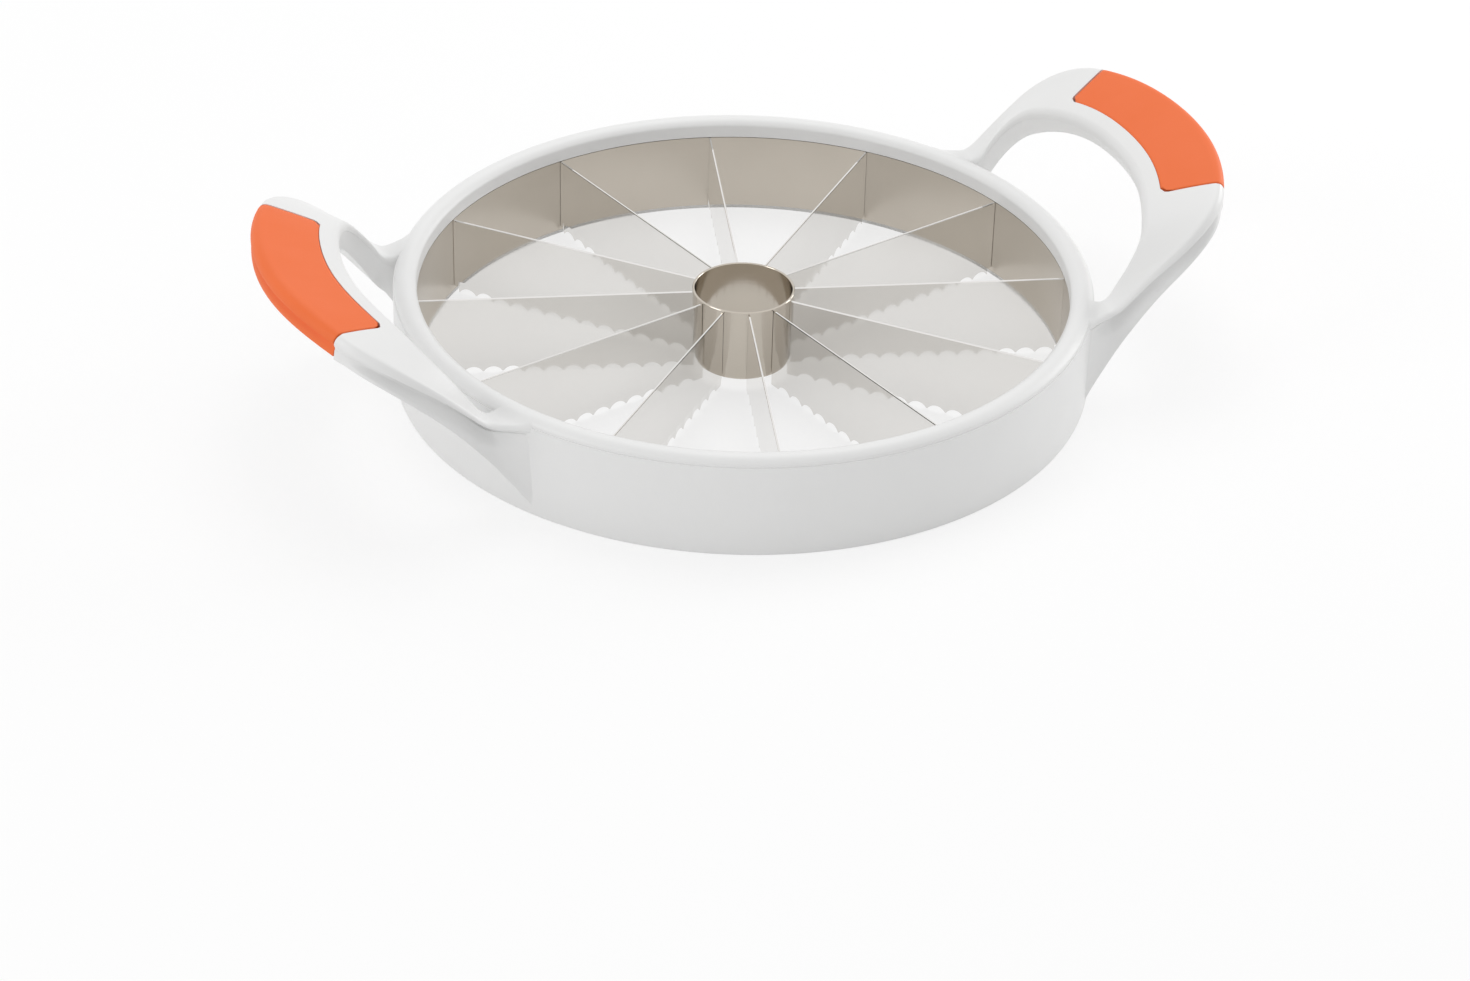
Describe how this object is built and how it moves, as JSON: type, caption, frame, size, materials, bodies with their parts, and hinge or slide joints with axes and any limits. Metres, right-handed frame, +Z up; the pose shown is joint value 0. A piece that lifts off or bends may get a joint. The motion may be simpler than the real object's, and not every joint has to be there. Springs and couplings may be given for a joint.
{
  "type": "melon slicer",
  "caption": "Round melon slicer: radial toothed steel blades and a core tube in a white ring with two raised loop handles and soft grip pads.",
  "frame": {"origin": "centre of the ring's underside, on the hub's axis", "axes": "+Z up along the hub, +X along the line of the two handles"},
  "size_m": [0.332, 0.236, 0.0682],
  "materials": {
    "white_plastic": "white moulded plastic with a soft sheen",
    "polished_steel": "bright polished stainless sheet",
    "orange_grip": "orange soft-touch moulded pad",
    "screw_steel": "zinc plated"
  },
  "bodies": {
    "root": {"upper_frame": "white_plastic", "lower_frame": "white_plastic", "steel_band": "polished_steel", "hub_tube": "polished_steel", "left_grip": "orange_grip", "right_grip": "orange_grip", "left_handle_screws": "screw_steel", "right_handle_screws": "screw_steel", "blade_01": "polished_steel", "blade_02": "polished_steel", "blade_03": "polished_steel", "blade_04": "polished_steel", "blade_05": "polished_steel", "blade_06": "polished_steel", "blade_07": "polished_steel", "blade_08": "polished_steel", "blade_09": "polished_steel", "blade_10": "polished_steel", "blade_11": "polished_steel", "blade_12": "polished_steel"}
  },
  "joints": []
}
